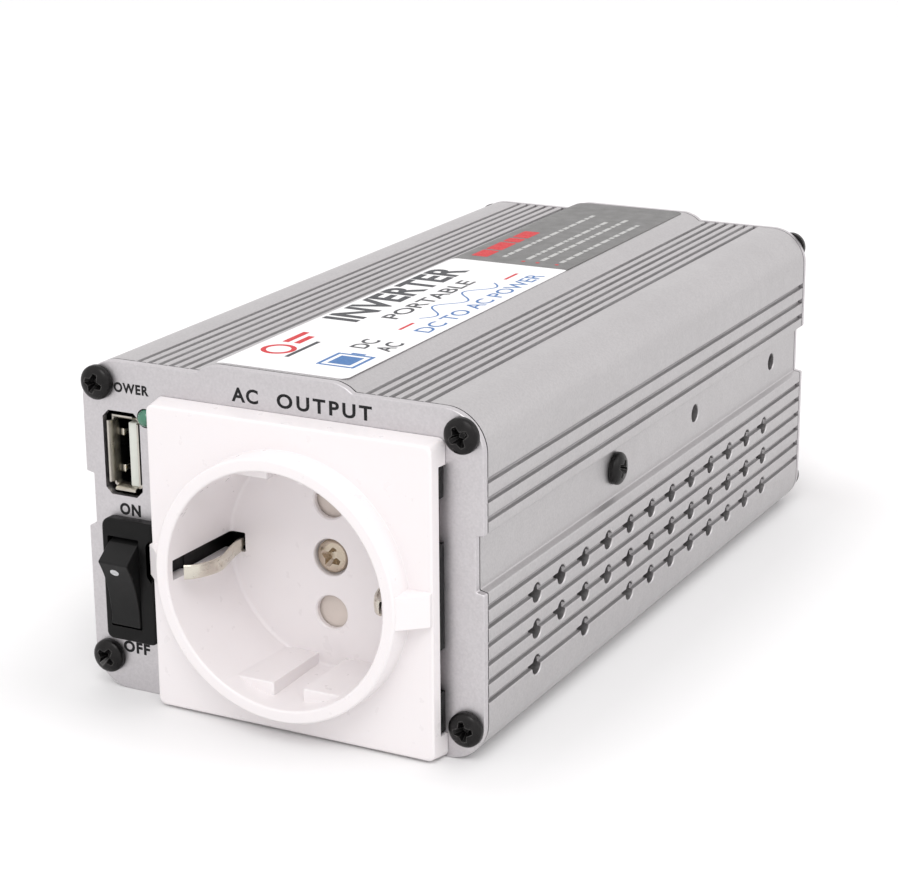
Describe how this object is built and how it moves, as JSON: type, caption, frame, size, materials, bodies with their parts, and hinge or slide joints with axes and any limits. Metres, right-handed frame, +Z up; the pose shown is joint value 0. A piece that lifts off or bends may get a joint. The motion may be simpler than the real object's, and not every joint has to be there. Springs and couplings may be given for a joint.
{
  "type": "power inverter",
  "caption": "Compact aluminium-cased DC to AC power inverter with a recessed grounded socket, a USB outlet, a rocker switch, a rear fan and screw terminals.",
  "frame": {"origin": "centre of the flat underside of the case", "axes": "+X to the viewer's right when facing the socket, -Y out of the front panel, +Y out of the rear panel with the DC terminals, +Z up"},
  "size_m": [0.0754, 0.1717, 0.0601],
  "materials": {
    "satin_aluminium": "satin anodised",
    "white_plastic": "semi-gloss moulded",
    "black_plastic": "fine matte moulded",
    "rocker_black": "semi-gloss moulded",
    "black_steel": "black oxide, slightly glossy",
    "nickel": "nickel plated",
    "brass": "plain",
    "shutter_grey": "fine matte moulded",
    "led_green": "tinted clear lens",
    "label_film": "printed film, satin",
    "board_green": "solder mask",
    "ferrite": "sintered, matte",
    "winding_tape": "polyester tape",
    "capacitor_sleeve": "shrink sleeve",
    "copper_wire": "enamelled copper",
    "fuse_amber": "tinted",
    "silicone_pad": "soft, matte",
    "cable_red": "flexible insulation",
    "cable_black": "flexible insulation",
    "cable_brown": "flexible insulation",
    "cable_blue": "flexible insulation",
    "terminal_red": "moulded"
  },
  "bodies": {
    "inverter_body": {"case_extrusion": "satin_aluminium", "front_panel": "satin_aluminium", "rear_panel": "satin_aluminium", "side_clamp_screw": "black_steel", "socket_cover": "white_plastic", "socket_base": "black_plastic", "socket_centre_screw": "nickel", "socket_contact_live": "brass", "socket_contact_neutral": "brass", "switch_housing": "black_plastic", "switch_terminal_1": "brass", "switch_terminal_2": "brass", "usb_shell": "nickel", "usb_tongue": "white_plastic", "usb_board": "board_green", "power_led": "led_green", "top_label": "label_film", "clamp_bar": "satin_aluminium", "insulating_pad": "silicone_pad", "main_board": "board_green", "transformer_core": "ferrite", "transformer_winding": "winding_tape", "input_capacitor_1": "capacitor_sleeve", "input_capacitor_2": "capacitor_sleeve", "bus_capacitor": "capacitor_sleeve", "output_choke": "copper_wire", "blade_fuse": "fuse_amber", "control_chip": "black_plastic", "dc_cable_red": "cable_red", "dc_cable_black": "cable_black", "ac_wire_live": "cable_brown", "ac_wire_neutral": "cable_blue", "fan_frame": "black_plastic", "fan_screw_1": "black_steel", "fan_screw_2": "black_steel", "front_panel_screw_1": "black_steel", "rear_panel_screw_1": "black_steel", "power_transistor_1": "black_plastic", "front_panel_screw_2": "black_steel", "rear_panel_screw_2": "black_steel", "power_transistor_2": "black_plastic", "front_panel_screw_3": "black_steel", "rear_panel_screw_3": "black_steel", "power_transistor_3": "black_plastic", "front_panel_screw_4": "black_steel", "rear_panel_screw_4": "black_steel", "power_transistor_4": "black_plastic", "terminal_bush_red": "terminal_red", "terminal_stud_red": "brass", "terminal_bush_black": "black_plastic", "terminal_stud_black": "brass"},
    "rocker": {"switch_rocker": "rocker_black"},
    "shutter": {"socket_shutter": "shutter_grey"},
    "left_earth_clip": {"earth_clip_left": "nickel"},
    "right_earth_clip": {"earth_clip_right": "nickel"},
    "fan_blades": {"fan_rotor": "black_plastic"},
    "red_washer": {"terminal_washer_red": "nickel"},
    "red_knob": {"terminal_knob_red": "terminal_red"},
    "black_washer": {"terminal_washer_black": "nickel"},
    "black_knob": {"terminal_knob_black": "black_plastic"}
  },
  "joints": [
    {"name": "rocker_tilt", "type": "hinge", "parent": "inverter_body", "child": "rocker", "pos_m": [-0.02935, -0.07, 0.0202], "axis": [-1, 0, 0], "range_deg": [0, 28]},
    {"name": "shutter_turn", "type": "hinge", "parent": "inverter_body", "child": "shutter", "pos_m": [0.0042, -0.0618, 0.0265], "axis": [0, 1, 0], "range_deg": [0, 40]},
    {"name": "left_earth_clip_flex", "type": "hinge", "parent": "inverter_body", "child": "left_earth_clip", "pos_m": [-0.0132, -0.0525, 0.0265], "axis": [0, 0, -1], "range_deg": [0, 3.5]},
    {"name": "right_earth_clip_flex", "type": "hinge", "parent": "inverter_body", "child": "right_earth_clip", "pos_m": [0.0216, -0.0525, 0.0265], "axis": [0, 0, 1], "range_deg": [0, 3.5]},
    {"name": "fan_spin", "type": "hinge", "parent": "inverter_body", "child": "fan_blades", "pos_m": [-0.0135, 0.0663, 0.0292], "axis": [0, 1, 0], "continuous": true},
    {"name": "red_knob_turn", "type": "hinge", "parent": "red_washer", "child": "red_knob", "pos_m": [0.0215, 0.0772, 0.0405], "axis": [0, 1, 0], "range_deg": [0, 1080]},
    {"name": "red_washer_slide", "type": "slide", "parent": "inverter_body", "child": "red_washer", "axis": [0, 1, 0], "range_m": [0, 0.003]},
    {"name": "black_knob_turn", "type": "hinge", "parent": "black_washer", "child": "black_knob", "pos_m": [0.0215, 0.0772, 0.018], "axis": [0, 1, 0], "range_deg": [0, 1080]},
    {"name": "black_washer_slide", "type": "slide", "parent": "inverter_body", "child": "black_washer", "axis": [0, 1, 0], "range_m": [0, 0.003]}
  ],
  "couplings": [
    {"joint": "red_knob_turn", "follows": "red_washer_slide", "rad_per_m": 6283.2},
    {"joint": "black_knob_turn", "follows": "black_washer_slide", "rad_per_m": 6283.2}
  ]
}
